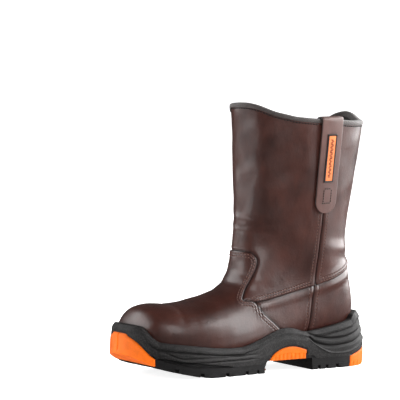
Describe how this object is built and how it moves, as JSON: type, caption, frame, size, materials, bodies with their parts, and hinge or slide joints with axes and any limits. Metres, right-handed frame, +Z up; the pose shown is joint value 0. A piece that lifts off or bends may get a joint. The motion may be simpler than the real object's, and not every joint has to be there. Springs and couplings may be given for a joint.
{
  "type": "steel toe work boot",
  "caption": "Pull-on steel toe work boot: tall leather shaft with two pull loops and a side label over a treaded rubber sole with coloured toe, arch and heel inserts.",
  "frame": {"origin": "on the ground under the middle of the boot's bounding box", "axes": "+Z up, -Y towards the toe, +X towards the outer (lateral) side of this left boot"},
  "size_m": [0.1132, 0.2994, 0.2889],
  "materials": {
    "leather_brown": "oiled, semi-gloss",
    "lining_black": "woven textile",
    "binding_black": "folded tape, matte",
    "webbing_brown": "leather-faced loop, semi-matte",
    "steel": "brushed",
    "board_tan": "pressed fibre board, matte",
    "felt_grey": "felt interlining",
    "footbed_black": "textile-covered foam",
    "midsole_black": "fine stipple, matte",
    "outsole_black": "matte tread rubber",
    "accent_orange": "smooth satin",
    "label_black": "moulded frame",
    "label_orange": "raised pattern"
  },
  "bodies": {
    "boot": {"vamp": "leather_brown", "shaft_front": "leather_brown", "shaft_back": "leather_brown", "quarter_lateral": "leather_brown", "quarter_medial": "leather_brown", "counter": "leather_brown", "topline_binding": "binding_black", "shaft_lining": "lining_black", "vamp_lining": "lining_black", "heel_lining": "lining_black", "steel_toe_cap": "steel", "toe_cap_edge_strip": "midsole_black", "interlining": "felt_grey", "heel_stiffener": "board_tan", "steel_midsole_plate": "steel", "insole_board": "board_tan", "midsole": "midsole_black", "outsole": "outsole_black", "toe_insert": "accent_orange", "heel_insert": "accent_orange", "arch_insert": "accent_orange"},
    "footbed": {"footbed": "footbed_black"},
    "pull_loop_lateral": {"pull_loop_lateral": "webbing_brown", "label_frame": "label_black", "label_plate": "label_orange"},
    "pull_loop_medial": {"pull_loop_medial": "webbing_brown"}
  },
  "joints": [
    {"name": "footbed_lift", "type": "hinge", "parent": "boot", "child": "footbed", "pos_m": [0, -0.125, 0.0325], "axis": [1, 0, 0], "range_deg": [0, 8]},
    {"name": "lateral_loop_pull", "type": "slide", "parent": "boot", "child": "pull_loop_lateral", "axis": [0.0439, 0.0591, 0.9973], "range_m": [0, 0.006]},
    {"name": "medial_loop_pull", "type": "slide", "parent": "boot", "child": "pull_loop_medial", "axis": [-0.0439, 0.0591, 0.9973], "range_m": [0, 0.006]}
  ]
}
